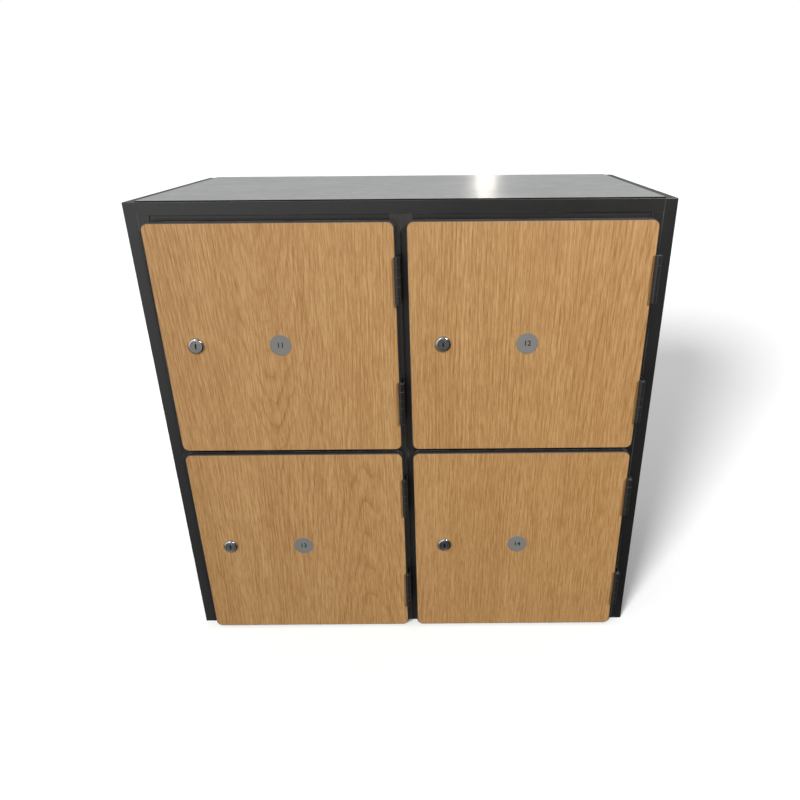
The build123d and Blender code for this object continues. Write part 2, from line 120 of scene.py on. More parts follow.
class Paint(Graph):
    """One node material: a principled shader and the nodes that feed it."""

    def __init__(self, name, roughness=0.5, metallic=0.0, specular=0.5):
        self.material = bpy.data.materials.new(name)
        self.material.use_nodes = True
        super().__init__(self.material.node_tree)
        self.shader = self.tree.nodes["Principled BSDF"]
        self.shader.inputs["Roughness"].default_value = roughness
        self.shader.inputs["Metallic"].default_value = metallic
        self.shader.inputs["Specular IOR Level"].default_value = specular
        self.place = self.node("ShaderNodeTexCoord").outputs["Object"]

    def scaled(self, scale, offset=(0, 0, 0)):
        inputs = {"Vector": self.place, "Location": offset, "Scale": scale}
        return self.node("ShaderNodeMapping", **inputs).outputs["Vector"]

    def noise(self, scale, detail=3.0, rough=0.5, offset=(0, 0, 0), twist=0.0):
        """Noise with about scale grains to the metre along each axis."""
        return self.node(
            "ShaderNodeTexNoise",
            Vector=self.scaled(scale, offset),
            Scale=1.0,
            Detail=detail,
            Roughness=rough,
            Distortion=twist,
        ).outputs["Fac"]

    def edges(self, radius):
        """1 on edges that a rounding of that radius would touch, 0 on flat faces."""
        soft = self.node("ShaderNodeBevel", {"samples": 4}, Radius=radius).outputs[0]
        sharp = self.node("ShaderNodeNewGeometry").outputs["Normal"]
        settings = {"operation": "DOT_PRODUCT"}
        match = self.node("ShaderNodeVectorMath", settings, _0=soft, _1=sharp).outputs["Value"]
        return self.steps(self.math("SUBTRACT", 1.0, match), (0.02, 0.0), (0.22, 1.0))

    def rounded(self):
        """1 where a square-cut part is rounded off: most below, least above, a painted highlight
        standing in for the bright floor's reflection.
        """
        normal = self.axes(self.node("ShaderNodeTexCoord").outputs["Normal"])
        sizes = [self.math("ABSOLUTE", normal[i]) for i in range(3)]
        most = self.math("MAXIMUM", self.math("MAXIMUM", *sizes[:2]), sizes[2])
        slant = self.steps(self.math("SUBTRACT", 1.0, most), (0.03, 0.0), (0.16, 1.0))
        # painted highlight: arrises facing down are paler, as if they reflected the bright floor
        below = self.math("MULTIPLY_ADD", normal[2], -0.55, 0.5, clamp=True)
        return self.math("MULTIPLY", slant, below)

    def feed(self, name, value):
        self.tree.links.new(value, self.shader.inputs[name])

    def bump(self, *layers):
        """Relief from (height, distance in metres) layers."""
        normal = None
        for height, distance in layers:
            made = self.node("ShaderNodeBump", Height=height, Distance=distance)
            if normal is not None:
                self.tree.links.new(normal, made.inputs["Normal"])
            normal = made.outputs["Normal"]
        self.feed("Normal", normal)


# ---------------------------------------------------------------- camera and stage

CAMERA_PLACE = (0.0589, -1.1659, 0.9384)
CAMERA_TURN = (66.336, 0.422, -0.180)      # degrees
CAMERA_LENS = 28.24
CAMERA_SHIFT = (-0.0507, -0.0137)

WHITE = (1.0, 1.0, 1.0)
WARM = (1.0, 0.93, 0.82)
KEY_WHITE = (1.0, 0.985, 0.96)
FLOOR_SIZE = 80.0
FLOOR_SUN = (-0.50, -0.75, 0.39)           # towards the light that only the floor takes
FLOOR_SUN_SOFTNESS = 17.0                  # degrees
FLOOR_SUN_POWER = 5.0
FLOOR_GLOW = 0.10
SKY_LEVELS = {"ceiling": 0.40, "horizon": 0.32, "ground": 0.08}
SKY_SHARES = {"behind": 1.3, "front_left": 3.5, "front_right": -0.1}
SKY_LEAST_SHARE = 0.08
SKY_TURN = (-0.45, 0.28)                   # between these x the front fades left to right
BODY_MIDDLE = (0, 0, 0.4)
KEY = {"place": (1.7, -2.8, 2.6), "target": BODY_MIDDLE, "size": (0.36, 0.36),
       "power": 104.0, "colour": KEY_WHITE}
LEFT_LAMP = {"place": (-1.5, -2.3, 2.9), "target": BODY_MIDDLE, "size": (0.2, 0.2),
             "power": 14.0, "colour": WHITE}
REAR_GLOW = {"place": (0.49, 5.0, 1.3), "target": (0.2, 0.1, 0.82), "size": (0.16, 0.12),
             "power": 2.0, "colour": WARM}


def place_in_scene(data, name):
    made = bpy.data.objects.new(name, data)
    bpy.context.scene.collection.objects.link(made)
    return made


def add_camera():
    data = bpy.data.cameras.new("camera")
    data.lens = CAMERA_LENS
    data.sensor_width = 36.0
    data.shift_x, data.shift_y = CAMERA_SHIFT
    camera = place_in_scene(data, "camera")
    camera.location = CAMERA_PLACE
    camera.rotation_euler = [math.radians(angle) for angle in CAMERA_TURN]
    bpy.context.scene.camera = camera


def aim(light, place, target):
    light.location = place
    light.rotation_euler = (Vector(target) - Vector(place)).to_track_quat("-Z", "Y").to_euler()


def add_panel_light(name, place, target, size, power, colour):
    data = bpy.data.lights.new(name, "AREA")
    data.shape = "RECTANGLE"
    data.size, data.size_y = size
    data.energy = power
    data.color = colour
    light = place_in_scene(data, name)
    aim(light, place, target)
    light.visible_camera = False
    return light


def light_floor(light, floor, included):
    """Makes a lamp light only the floor, or everything but the floor."""
    linked = bpy.data.collections.new(f"{light.name}_floor")
    linked.objects.link(floor)
    linked.collection_objects[0].light_linking.link_state = "INCLUDE" if included else "EXCLUDE"
    light.light_linking.receiver_collection = linked


def add_floor_sun(floor):
    """Lights only the floor, so that the locker's soft shadow falls to the right."""
    data = bpy.data.lights.new("floor_sun", "SUN")
    data.energy = FLOOR_SUN_POWER
    data.angle = math.radians(FLOOR_SUN_SOFTNESS)
    light = place_in_scene(data, "floor_sun")
    aim(light, FLOOR_SUN, (0, 0, 0))
    light_floor(light, floor, included=True)


def add_sky(ceiling, horizon, ground, behind, front_left, front_right):
    """White to look at. As a light it fades downwards, and from left to right in front."""
    world = bpy.data.worlds.new("studio")
    bpy.context.scene.world = world
    world.use_nodes = True
    world.node_tree.nodes.clear()
    graph = Graph(world.node_tree)
    x, y, z = graph.axes(graph.node("ShaderNodeTexCoord").outputs["Generated"])[:3]
    height = graph.math("MULTIPLY_ADD", z, 0.5, 0.5)
    level = graph.steps(height, (0.28, ground), (0.42, horizon), (0.56, horizon), (0.8, ceiling))
    across = graph.node(
        "ShaderNodeMapRange",
        Value=x,
        From_Min=SKY_TURN[0],
        From_Max=SKY_TURN[1],
        To_Min=front_left - behind,
        To_Max=front_right - behind,
    ).outputs[0]
    ahead = graph.math("MULTIPLY", y, -1.6, clamp=True)
    share = graph.math("MULTIPLY_ADD", ahead, across, behind)
    share = graph.math("MAXIMUM", share, SKY_LEAST_SHARE)
    light = graph.node("ShaderNodeBackground", Strength=graph.math("MULTIPLY", level, share))
    seen = graph.node("ShaderNodeBackground")
    for background in (light, seen):
        background.inputs["Color"].default_value = (*WHITE, 1.0)
    camera_ray = graph.node("ShaderNodeLightPath").outputs["Is Camera Ray"]
    shaders = {"_1": light.outputs[0], "_2": seen.outputs[0]}
    blend = graph.node("ShaderNodeMixShader", _0=camera_ray, **shaders)
    graph.node("ShaderNodeOutputWorld", Surface=blend.outputs[0])


def add_floor(material):
    """A pale floor that the camera sees and that throws no light back on the locker."""
    mesh = bpy.data.meshes.new("studio_floor")
    shape = bmesh.new()
    bmesh.ops.create_grid(shape, x_segments=2, y_segments=2, size=FLOOR_SIZE / 2)
    shape.to_mesh(mesh)
    shape.free()
    mesh.materials.append(material)
    floor = place_in_scene(mesh, "studio_floor")
    floor.visible_diffuse = False
    floor.visible_glossy = False
    floor.visible_shadow = False
    return floor


def dress(material, *names):
    """Gives CAD nodes their material."""
    for name in names:
        mesh = NODES[name].data
        mesh.materials.clear()
        mesh.materials.append(material)


# ---------------------------------------------------------------- materials


def floor_material():
    paint = Paint("pale_floor", roughness=0.9, specular=0.0)
    cloud = paint.noise((3, 3, 3))
    paint.feed("Base Color", paint.mix(cloud, (0.87, 0.87, 0.87), (0.89, 0.89, 0.89)))
    paint.shader.inputs["Emission Color"].default_value = (*WHITE, 1.0)
    paint.shader.inputs["Emission Strength"].default_value = FLOOR_GLOW
    return paint.material


CORE_BLACK = (0.018, 0.017, 0.015)
CORE_GREY = (0.036, 0.034, 0.031)
SPECK_GREY = (0.12, 0.12, 0.12)


def powder_coat(name, dark, light, gloss, edge_wear_and_sheen, edge=None):
    """Satin black paint: fine orange peel, soft smudges, specks, and pale edges: rubbed wear, and
    without a rounding radius also a painted highlight on arrises facing down.
    """
    paint = Paint(name, specular=0.75)
    smudge = paint.noise((9, 9, 5), detail=5.0, rough=0.6, twist=0.4)
    speck = paint.noise((700, 700, 700), detail=1.0)
    scuff = paint.noise((14, 14, 9), detail=4.0, rough=0.7)
    base = paint.mix(paint.steps(smudge, (0.35, 0.0), (0.7, 1.0)), dark, light)
    base = paint.mix(paint.steps(speck, (0.70, 0.0), (0.82, 0.3)), base, SPECK_GREY)
    rim_wear_and_sheen = paint.edges(edge) if edge else paint.rounded()
    # pale edges: rubbed wear, plus painted highlight where the arris faces down
    rubbed = paint.math("MULTIPLY", rim_wear_and_sheen, paint.steps(scuff, (0.38, 0.12), (0.6, 1.0)))
    paint.feed("Base Color", paint.mix(rubbed, base, edge_wear_and_sheen))
    rough = paint.span(smudge, gloss - 0.06, gloss + 0.1)
    paint.feed("Roughness", paint.math("MULTIPLY_ADD", rubbed, -0.12, rough))
    peel = paint.noise((260, 260, 260), detail=2.0)
    paint.bump((peel, 0.00005), (speck, 0.00001))
    return paint.material


def galvanised_sheet(name, pale, dull, rough=0.42, shaded_front=None):
    """Zinc-coated sheet: faint crystals, rolling streaks and hand smudges.

    Anything ahead of the given front line is coloured near black: painted shade along the sheet's
    cut front edge.
    """
    paint = Paint(name, metallic=0.8, specular=0.5)
    drift = paint.node("ShaderNodeTexNoise", Vector=paint.place, Scale=60.0).outputs["Color"]
    add = {"operation": "ADD"}
    grains = paint.scaled((90, 90, 90))
    bent = paint.node("ShaderNodeVectorMath", add, _0=grains, _1=drift).outputs["Vector"]
    crystals = paint.node("ShaderNodeTexVoronoi", Vector=bent, Scale=1.0).outputs["Color"]
    shade = paint.axes(crystals)[0]
    smudge = paint.noise((5, 7, 7), detail=6.0, rough=0.62, twist=0.6)
    streak = paint.noise((3, 160, 160), detail=3.0)
    base = paint.mix(shade, dull, pale)
    stain = paint.steps(smudge, (0.40, 0.0), (0.72, 0.6))
    base = paint.mix(stain, base, tuple(0.8 * level for level in dull))
    base = paint.mix(paint.span(streak, 0.0, 0.12), base, pale)
    if shaded_front is not None:
        # painted shade: the sheet's front edge coloured near black
        lip = paint.math("LESS_THAN", paint.axes(paint.place)[1], shaded_front)
        base = paint.mix(lip, base, CORE_BLACK)
    paint.feed("Base Color", base)
    sheen = paint.math("ADD", paint.span(shade, rough, rough + 0.07), paint.span(smudge, -0.1, 0.12))
    paint.feed("Roughness", sheen)
    paint.bump((streak, 0.00001), (shade, 0.00001))
    return paint.material


# How each door's veneer was cut: its pith's place from the door's middle and depth below the
# face, in metres, and how far the pith leans towards the face over a metre.
OAK_FIGURE = {
    "11": {"pith": -0.02, "depth": 0.08, "lean": -0.13},
    "12": {"pith": 0.26, "depth": 0.16, "lean": 0.075},
    "13": {"pith": 0.14, "depth": 0.10, "lean": 0.09},
    "14": {"pith": -0.30, "depth": 0.14, "lean": -0.07},
}
OAK_RINGS = 165                            # to the metre
OAK_WANDER = (                             # (grains to the metre, sideways reach in metres)
    ((2.5, 2.5, 0.9), 0.05),
    ((16, 16, 3.5), 0.006),
    ((40, 40, 12), 0.003),
)
OAK_PALE = (0.626, 0.377, 0.157)
OAK_BODY = (0.491, 0.275, 0.095)
OAK_BROWN = (0.28, 0.106, 0.016)
# colour of the painted highlight along the rear of the door's edge
EDGE_HIGHLIGHT_GREY = (0.26, 0.26, 0.26)
EDGE_HIGHLIGHT_DEPTH = 4.0 * MM                         # depth of the pale band at the rear of the door's edge, a painted highlight
PRINT_SKIN = 0.02 * MM                     # what counts as the door's printed face


def oak_lines(paint, x, z, figure, shift):
    """The dark early wood of the year rings, which comes and goes along each ring."""
    depth = paint.math("MULTIPLY_ADD", z, figure["lean"], figure["depth"])
    squares = [paint.math("POWER", side, 2.0) for side in (x, depth)]
    radius = paint.math("SQRT", paint.math("ADD", *squares))
    pace = paint.noise((14, 14, 0.8), detail=3.0, rough=0.6, offset=shift)
    age = paint.math("MULTIPLY_ADD", pace, 4.5, paint.math("MULTIPLY", radius, OAK_RINGS))
    year = paint.math("FRACT", age)
    early = paint.steps(year, (0.0, 0.2), (0.08, 1.0), (0.22, 0.4), (0.5, 0.0), (1.0, 0.2))
    strength = paint.noise((24, 24, 3.0), detail=3.0, rough=0.6, offset=shift[::-1])
    return paint.math("MULTIPLY", early, paint.steps(strength, (0.36, 0.10), (0.62, 1.0)))


def oak_colours(paint, tag):
    """Crown-cut oak printed on laminate, grain along Z: (colour, relief)."""
    chance = random.Random(tag)
    shift = [chance.uniform(-9, 9) for _ in range(3)]
    low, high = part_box(f"door_{tag}")
    figure = OAK_FIGURE[tag]
    x, _, z = paint.axes(paint.place)[:3]
    for grains, reach in OAK_WANDER:
        waver = paint.math("SUBTRACT", paint.noise(grains, detail=2.0, offset=shift), 0.5)
        x = paint.math("MULTIPLY_ADD", waver, reach, x)
    across = paint.math("SUBTRACT", x, (low.x + high.x) / 2 + figure["pith"])
    height = paint.math("SUBTRACT", z, (low.z + high.z) / 2)
    early = oak_lines(paint, across, height, figure, shift)

    def grain(scale, low_stop, high_stop, **noise):
        made = paint.noise(scale, **{"rough": 0.6, "offset": shift, **noise})
        return paint.steps(made, (low_stop, 0.0), (high_stop, 1.0))

    pores = grain((720, 720, 22), 0.49, 0.55, rough=0.7)
    dashes = grain((640, 640, 40), 0.51, 0.57, detail=2.0, offset=shift[::-1])
    rays = grain((600, 600, 30), 0.46, 0.54, detail=2.0, offset=shift[::-1])
    fibre = grain((520, 520, 4.5), 0.42, 0.58, rough=0.65, offset=shift[::-1])
    band = grain((20, 20, 0.6), 0.34, 0.66)
    base = paint.mix(paint.span(band, 0.25, 0.80), OAK_BODY, OAK_PALE)
    base = paint.mix(paint.span(fibre, 0.0, 0.28), base, OAK_BROWN)
    base = paint.mix(paint.span(rays, 0.0, 0.28), base, OAK_PALE)
    base = paint.mix(paint.span(dashes, 0.0, 0.34), base, OAK_BROWN)
    base = paint.mix(paint.math("MULTIPLY", early, 0.46), base, OAK_BROWN)
    pore = paint.math("MULTIPLY", pores, paint.span(early, 0.30, 0.70))
    base = paint.mix(pore, base, OAK_BROWN)
    return base, paint.math("SUBTRACT", 1.0, pore)


def laminate_material(tag):
    """A door of compact laminate: oak print on both faces, black core round the edge, and a pale
    painted highlight along the edge's rear.
    """
    paint = Paint(f"oak_laminate_{tag}", specular=0.7)
    low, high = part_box(f"door_{tag}")
    y = paint.axes(paint.place)[1]
    front = paint.math("LESS_THAN", y, low.y + PRINT_SKIN)
    back = paint.math("GREATER_THAN", y, high.y - PRINT_SKIN)
    face = paint.math("ADD", front, back, clamp=True)
    oak, relief = oak_colours(paint, tag)
    machining = paint.noise((60, 60, 60), detail=3.0)
    core = paint.mix(machining, CORE_BLACK, CORE_GREY)
    # painted highlight: a pale band along the rear of the door's black edge, broken up by noise
    highlight_breaks = paint.steps(paint.noise((30, 30, 30), detail=4.0), (0.35, 0.3), (0.55, 1.0))
    highlight_band = paint.math("GREATER_THAN", y, high.y - EDGE_HIGHLIGHT_DEPTH)
    core = paint.mix(paint.math("MULTIPLY", highlight_band, highlight_breaks), core, EDGE_HIGHLIGHT_GREY)
    paint.feed("Base Color", paint.mix(face, core, oak))
    matt = paint.noise((70, 70, 70), detail=2.0)
    paint.feed("Roughness", paint.span(matt, 0.46, 0.58))
    paint.bump((paint.math("MULTIPLY", relief, face), 0.00004), (matt, 0.00002))
    return paint.material


def metal(name, dark, light, rough, grain=420):
    """Bare or plated metal with a cloudy, finely grained surface."""
    paint = Paint(name, metallic=1.0)
    haze = paint.noise((grain, grain, grain), detail=4.0)
    cloud = paint.noise((60, 60, 60), detail=3.0)
    paint.feed("Base Color", paint.mix(haze, dark, light))
    low, high = rough
    paint.feed("Roughness", paint.span(paint.math("MULTIPLY", haze, cloud), low, 2 * high - low))
    paint.bump((haze, 0.00001))
    return paint.material


PLASTIC_EDGE = 0.6 * MM


def plastic(name, dark, light, gloss, rubbing=0.35):
    """Moulded plastic or rubber with a fine spark-eroded texture and slightly pale edges."""
    paint = Paint(name, specular=0.35)
    texture = paint.noise((1500, 1500, 1500), detail=2.0)
    cloud = paint.noise((30, 30, 30), detail=4.0)
    rubbed = paint.math("MULTIPLY", paint.edges(PLASTIC_EDGE), rubbing)
    base = paint.mix(cloud, dark, light)
    paint.feed("Base Color", paint.mix(rubbed, base, tuple(2.2 * level for level in light)))
    paint.feed("Roughness", paint.span(cloud, gloss - 0.06, gloss + 0.08))
    paint.bump((texture, 0.00003))
    return paint.material


# pale edge colour: rubbed wear, and painted highlight on the frame's downward arrises
FRAME_EDGE_WEAR_AND_SHEEN = (0.34, 0.34, 0.34)
HINGE_WEAR = (0.30, 0.30, 0.30)
HINGE_RIM = 0.5 * MM
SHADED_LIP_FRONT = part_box("top_panel")[0].y + 0.4 * MM  # ahead of this, the top sheet's cut front edge is painted shade
FRAME_PAINT = ((0.009, 0.0085, 0.008), (0.013, 0.0125, 0.012))
# painted light: a lighter, browner copy of the frame paint for the middle posts and rails, standing
# in for warm light bounced off the oak doors
BOUNCE_LIT_PAINT = ((0.022, 0.0190, 0.0155), (0.028, 0.0246, 0.0205))
PANEL_PAINT = ((0.008, 0.008, 0.008), (0.012, 0.012, 0.012))
FINISH = {
    "frame": powder_coat("frame_paint", *FRAME_PAINT, 0.34, FRAME_EDGE_WEAR_AND_SHEEN),
    "bounce_lit": powder_coat("frame_paint_bounce_lit", *BOUNCE_LIT_PAINT, 0.40, FRAME_EDGE_WEAR_AND_SHEEN),
    "panel": powder_coat("end_panel_face", *PANEL_PAINT, 0.36, FRAME_EDGE_WEAR_AND_SHEEN),
    "hinge": powder_coat("hinge_paint", *PANEL_PAINT, 0.36, HINGE_WEAR, HINGE_RIM),
    "sheet": galvanised_sheet("galvanised", (0.60, 0.62, 0.62), (0.50, 0.515, 0.515)),
    "top": galvanised_sheet("galvanised_top", (0.72, 0.74, 0.74), (0.62, 0.64, 0.64), 0.28,
                            SHADED_LIP_FRONT),
    "pin": metal("pin_steel", (0.36, 0.36, 0.37), (0.50, 0.50, 0.51), (0.18, 0.34)),
    "screw": metal("screw_zinc", (0.38, 0.38, 0.385), (0.52, 0.52, 0.53), (0.22, 0.42)),
    "cam": metal("cam_zinc", (0.36, 0.36, 0.36), (0.48, 0.48, 0.47), (0.28, 0.46), 150),
    "chrome": metal("lock_chrome", (0.44, 0.44, 0.43), (0.54, 0.54, 0.53), (0.11, 0.20), 500),
    "plug": metal("lock_plug_metal", (0.29, 0.29, 0.283), (0.37, 0.37, 0.363), (0.24, 0.36), 900),
    "case": plastic("coin_case_nylon", (0.020, 0.020, 0.021), (0.028, 0.028, 0.030), 0.50),
    "disc": plastic("disc_plastic", (0.190, 0.189, 0.180), (0.220, 0.219, 0.209), 0.55),
    "ink": plastic("engraved_digits", (0.020, 0.020, 0.019), (0.030, 0.030, 0.028), 0.60,
                   rubbing=0.0),
    "rubber": plastic("buffer_rubber", (0.018, 0.018, 0.018), (0.026, 0.026, 0.026), 0.75),
}
FRAME_STARTS = ("post_", "header_", "cross_rail_", "sill_", "top_rail")
# middle posts and cross rails, which take the painted bounce light
BOUNCE_LIT_PARTS = ("post_inner_left", "post_inner_right", "cross_rail_left", "cross_rail_right")
SHEET_STARTS = ("wall_", "shelf_", "floor_", "roof_panel", "back_panel")
dress(FINISH["frame"], *(name for name in NODES if name.startswith(FRAME_STARTS)))
dress(FINISH["bounce_lit"], *BOUNCE_LIT_PARTS)
dress(FINISH["sheet"], *(name for name in NODES if name.startswith(SHEET_STARTS)))
dress(FINISH["panel"], "side_panel_left", "side_panel_right")
dress(FINISH["rubber"], "door_buffers")
for tag in TAGS:
    dress(laminate_material(tag), f"door_{tag}")
    dress(FINISH["disc"], f"number_disc_{tag}")
    dress(FINISH["plug"], f"lock_plug_{tag}")
    dress(FINISH["cam"], f"lock_cam_{tag}")

# ---------------------------------------------------------------- pieces

TURN = 2 * math.pi
FACING_FRONT = Matrix.Rotation(math.radians(90), 4, "X")
WELD = 0.001 * MM                          # corners nearer than this are one
TOUCH = 0.01 * MM                          # points nearer than this are level
HINGE_ROUND = 0.35 * MM
CASE_ROUND = 0.3 * MM

SHEET = 1.5 * MM
TOP_FOLD = 2.0 * MM                        # outside radius of the top sheet's rear fold
TOP_WAVE = 0.35 * MM                       # how far the top sheet dips between its supports
TOP_STEPS_ALONG = 90
TOP_STEPS_BACK = 60

DIGIT_SIZE = 12.5 * MM
DIGIT_RELIEF = 0.12 * MM
DIGIT_STROKE = 0.22 * MM                   # added round each stroke

BARREL_R = 10.5 * MM
BARREL_BORE = 8.26 * MM                    # round the key plug
BEZEL_CROWN = 0.75                         # of the bezel's thickness, the dome's width
BEZEL_RIM = 0.8                            # of the bezel's thickness, the dome's height
GROOVE_DEPTH = 0.28 * MM
BORE_CHAMFER = 0.16 * MM

PIN_DOME = 0.55 * MM
HEAD_ARRIS = 0.1 * MM                      # round the foot of a pan head
SUNK_RIM = 0.12 * MM                       # depth of a countersunk head's edge
RECESS_DEPTH = 0.62                        # of the head's height
RECESS_ARM = 0.20                          # width of the cross, of the head's radius
RECESS_FOOT = 0.62                         # length of the cross at its foot, likewise
RECESS_MOUTH = 1.12                        # and at the top


def finish_piece(piece, material, body, replaced=()):
    piece.data.materials.clear()
    piece.data.materials.append(material)
    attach(piece, body)
    if replaced:
        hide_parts(*replaced)


def mesh_piece(shape, name, sharp=35):
    """An object of a bmesh, shaded smooth except across edges sharper than an angle."""
    bmesh.ops.recalc_face_normals(shape, faces=shape.faces)
    mesh = bpy.data.meshes.new(name)
    shape.to_mesh(mesh)
    shape.free()
    for polygon in mesh.polygons:
        polygon.use_smooth = True
    mesh.set_sharp_from_angle(angle=math.radians(sharp))
    return place_in_scene(mesh, name)


def solids(name):
    """The separate solids of a CAD node, each as a list of its corner points."""
    shape = bmesh.new()
    shape.from_mesh(NODES[name].data)
    bmesh.ops.remove_doubles(shape, verts=shape.verts, dist=WELD)
    found = []
    waiting = set(shape.verts)
    while waiting:
        front = [waiting.pop()]
        members = []
        while front:
            corner = front.pop()
            members.append(corner.co.copy())
            for edge in corner.link_edges:
                other = edge.other_vert(corner)
                if other in waiting:
                    waiting.remove(other)
                    front.append(other)
        found.append(members)
    shape.free()
    return sorted(found, key=lambda points: [round(value, 5) for value in middle_of(points)])


def middle_of(points):
    """The middle of the box round some points."""
    lows = [min(point[i] for point in points) for i in range(3)]
    highs = [max(point[i] for point in points) for i in range(3)]
    return Vector([(low + high) / 2 for low, high in zip(lows, highs)])


def soften(name, width, material, body):
    """A copy of a CAD node with small rounded edges, which stands in for it."""
    shape = bmesh.new()
    shape.from_mesh(NODES[name].data)
    bmesh.ops.remove_doubles(shape, verts=shape.verts, dist=WELD)
    bmesh.ops.dissolve_limit(
        shape, angle_limit=math.radians(1), verts=shape.verts, edges=shape.edges
    )
    corners = [
        edge for edge in shape.edges
        if edge.is_manifold and edge.calc_face_angle() > math.radians(50)
    ]
    bmesh.ops.bevel(
        shape, geom=corners, offset=width, segments=2, affect="EDGES", profile=0.5,
        clamp_overlap=True,
    )
    piece = mesh_piece(shape, f"{name}_soft")
    even = piece.modifiers.new("even_shading", "WEIGHTED_NORMAL")
    even.keep_sharp = True
    finish_piece(piece, material, body, [name])


def lathe(shape, profile, place, segments=40):
    """Adds a turned solid: (radius, height) points spun about a place's own z axis.

    A profile that starts off the axis is a ring, and is joined up from its end to its start.
    """
    rings = []
    for radius, height in profile:
        if radius == 0:
            rings.append([shape.verts.new(place @ Vector((0, 0, height)))] * segments)
            continue
        spokes = (TURN * step / segments for step in range(segments))
        rings.append([
            shape.verts.new(place @ Vector((radius * math.cos(t), radius * math.sin(t), height)))
            for t in spokes
        ])
    pairs = list(zip(rings, rings[1:]))
    if profile[0][0] > 0:
        pairs.append((rings[-1], rings[0]))
    for first, second in pairs:
        for step in range(segments):
            after = (step + 1) % segments
            around = (first[step], first[after], second[after], second[step])
            shape.faces.new(list(dict.fromkeys(around)))


def facing(direction, at):
    """A place whose own z axis points a given way."""
    turn = Vector((0, 0, 1)).rotation_difference(Vector(direction)).to_matrix().to_4x4()
    return Matrix.Translation(at) @ turn


def screw_measure(points):
    """(place, head radius, shank radius, length, head height, countersunk) of one screw."""
    spans = [max(p[i] for p in points) - min(p[i] for p in points) for i in range(3)]
    axis = spans.index(max(spans))
    centre = middle_of(points)

    def reach(point):
        offset = point - centre
        offset[axis] = 0
        return offset.length

    head_r = max(reach(point) for point in points)
    ends = (min(p[axis] for p in points), max(p[axis] for p in points))
    at_ends = [max(reach(p) for p in points if abs(p[axis] - end) < TOUCH) for end in ends]
    top = ends[at_ends[1] > at_ends[0]]
    shank_r = min(at_ends)
    wide = [abs(p[axis] - top) for p in points if reach(p) > head_r - TOUCH]
    sunk = max(wide) < 10 * TOUCH
    below = [abs(p[axis] - top) for p in points if reach(p) < shank_r + TOUCH]
    head_h = min(depth for depth in below if depth > 10 * TOUCH)
    direction = Vector((0, 0, 0))
    direction[axis] = 1.0 if top == ends[1] else -1.0
    at = centre.copy()
    at[axis] = top
    return facing(direction, at), head_r, shank_r, max(spans), head_h, sunk


def cross_cutter(head_r, deep):
    """Two crossed wedges, which cut a screw's recess."""
    shape = bmesh.new()
    for turned in (0, 90):
        corners = bmesh.ops.create_cube(shape, size=1.0)["verts"]
        for corner in corners:
            at_foot = corner.co.z < 0
            corner.co.x *= head_r * (RECESS_FOOT if at_foot else RECESS_MOUTH)
            corner.co.y *= head_r * RECESS_ARM
            corner.co.z = -deep if at_foot else MM
        spin = Matrix.Rotation(math.radians(turned), 4, "Z")
        bmesh.ops.transform(shape, matrix=spin, verts=corners)
    return mesh_piece(shape, "screw_cutter")


def screw_shape(head_r, shank_r, length, head_h, sunk):
    """A cross-recessed screw, its head's top at z = 0 and its shank downwards."""
    if sunk:
        head = [(0, 0), (head_r * 0.93, 0), (head_r, -SUNK_RIM), (shank_r, -head_h)]
    else:
        dome = [(math.sin(t), math.cos(t)) for t in (0.35, 0.7, 1.05, 1.35)]
        low = head_h * 0.45
        head = [(0, 0), *((head_r * a, (head_h - low) * (b - 1)) for a, b in dome)]
        head += [(head_r, -head_h + low / 2), (head_r, -head_h + HEAD_ARRIS)]
        head += [(head_r - HEAD_ARRIS, -head_h), (shank_r, -head_h)]
    tip = [(shank_r, -length + shank_r), (shank_r * 0.2, -length), (0, -length)]
    shape = bmesh.new()
    lathe(shape, head + tip, Matrix(), 28)
    screw = mesh_piece(shape, "screw_blank")
    cutter = cross_cutter(head_r, head_h * RECESS_DEPTH)
    cut = screw.modifiers.new("recess", "BOOLEAN")
    cut.operation = "DIFFERENCE"
    cut.solver = "EXACT"
    cut.use_self = True
    cut.object = cutter
    bpy.context.view_layer.update()
    graph = bpy.context.evaluated_depsgraph_get()
    mesh = bpy.data.meshes.new_from_object(screw.evaluated_get(graph))
    for used in (screw, cutter):
        bpy.data.objects.remove(used)
    return mesh


def add_screws(name, body):
    """Cross-recessed screws where a CAD node has its plain ones."""
    masters = {}
    joined = bmesh.new()
    for points in solids(name):
        place, *size = screw_measure(points)
        kind = tuple(round(value / (2 * TOUCH)) for value in size)
        if kind not in masters:
            masters[kind] = screw_shape(*size)
        spun = masters[kind].copy()
        spin = Matrix.Rotation(sum(middle_of(points)) * 97, 4, "Z")
        spun.transform(place @ spin)
        joined.from_mesh(spun)
    piece = mesh_piece(joined, f"{name}_cross", sharp=30)
    finish_piece(piece, FINISH["screw"], body, [name])


def add_pins():
    """Hinge pins with domed ends."""
    joined = bmesh.new()
    for points in solids("hinge_pins"):
        low = min(point.z for point in points)
        high = max(point.z for point in points)
        at = middle_of(points)
        at.z = low
        radius = max((point - Vector((at.x, at.y, point.z))).length for point in points)
        dome = [(0.0, 0.0), (0.45, 0.25), (0.75, 0.62), (1.0, 1.0)]
        foot = [(radius * a, PIN_DOME * b) for a, b in dome]
        top = [(radius * a, high - low - PIN_DOME * b) for a, b in reversed(dome)]
        lathe(joined, foot + top, Matrix.Translation(at), 24)
    piece = mesh_piece(joined, "hinge_pins_domed")
    finish_piece(piece, FINISH["pin"], "carcass", ["hinge_pins"])


